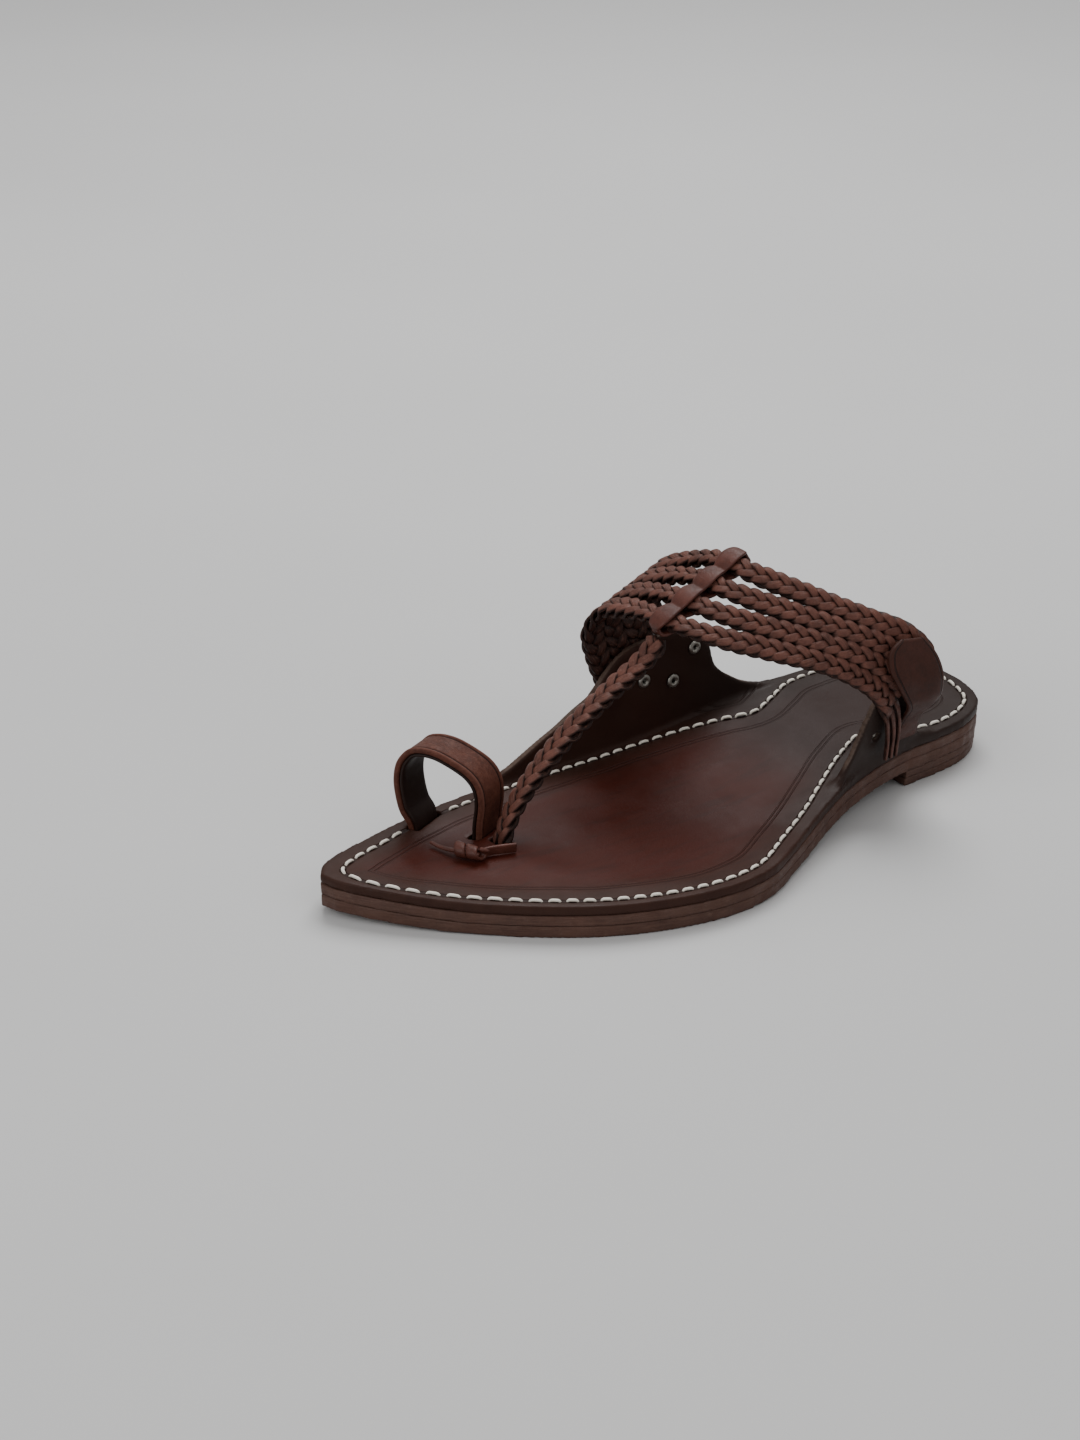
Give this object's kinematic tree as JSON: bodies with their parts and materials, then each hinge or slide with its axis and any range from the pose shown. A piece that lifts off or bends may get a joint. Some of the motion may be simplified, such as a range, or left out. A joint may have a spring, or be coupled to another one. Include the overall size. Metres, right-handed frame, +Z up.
{
  "type": "flip_flop",
  "caption": "Left leather flip flop with a braided instep band, a braided T-strap, a leather toe loop, a stitched layered sole and a low heel",
  "frame": {"origin": "Centre of the bounding box in plan, at floor level, with the sandal standing on its sole", "axes": "+Z up, the toe points along -Y and the heel along +Y, the little-toe side is +X and the big-toe side is -X"},
  "size_m": [0.1188, 0.2782, 0.0974],
  "materials": {
    "footbed_leather": "polished reddish brown leather",
    "sole_edge": "dark brown stacked leather, matt",
    "braid_leather": "oiled brown leather, creased",
    "strap_leather": "smooth reddish brown leather",
    "loop_leather": "fine grained reddish brown leather",
    "thread": "off-white waxed thread",
    "rivet": "dull nickel",
    "nail": "dull steel"
  },
  "bodies": {
    "sandal": {"heel_top_piece": "sole_edge", "heel_lift": "sole_edge", "heel_nail_1": "nail", "heel_nail_2": "nail", "heel_nail_3": "nail", "heel_nail_4": "nail", "heel_nail_5": "nail", "outsole": "sole_edge", "midsole": "sole_edge", "footbed": "footbed_leather", "edge_stitching": "thread", "instep_braid_front": "braid_leather", "instep_braid_second": "braid_leather", "instep_braid_third": "braid_leather", "instep_braid_back": "braid_leather", "instep_wrap": "strap_leather", "lateral_patch": "strap_leather", "medial_patch": "strap_leather", "lateral_rivet_1": "rivet", "lateral_rivet_2": "rivet", "lateral_rivet_3": "rivet", "medial_rivet_1": "rivet", "medial_rivet_2": "rivet", "medial_rivet_3": "rivet", "t_strap_braid": "braid_leather", "thong_strip": "strap_leather", "thong_knot": "strap_leather"},
    "toe_loop": {"toe_loop_band": "loop_leather", "toe_loop_lining": "loop_leather"}
  },
  "joints": [
    {"name": "toe_loop_lean", "type": "hinge", "parent": "sandal", "child": "toe_loop", "pos_m": [-0.03353, -0.07991, 0.0121], "axis": [0.79, 0.6131, 0], "range_deg": [-10, 10], "stiffness_Nm_per_rad": 0.02}
  ]
}
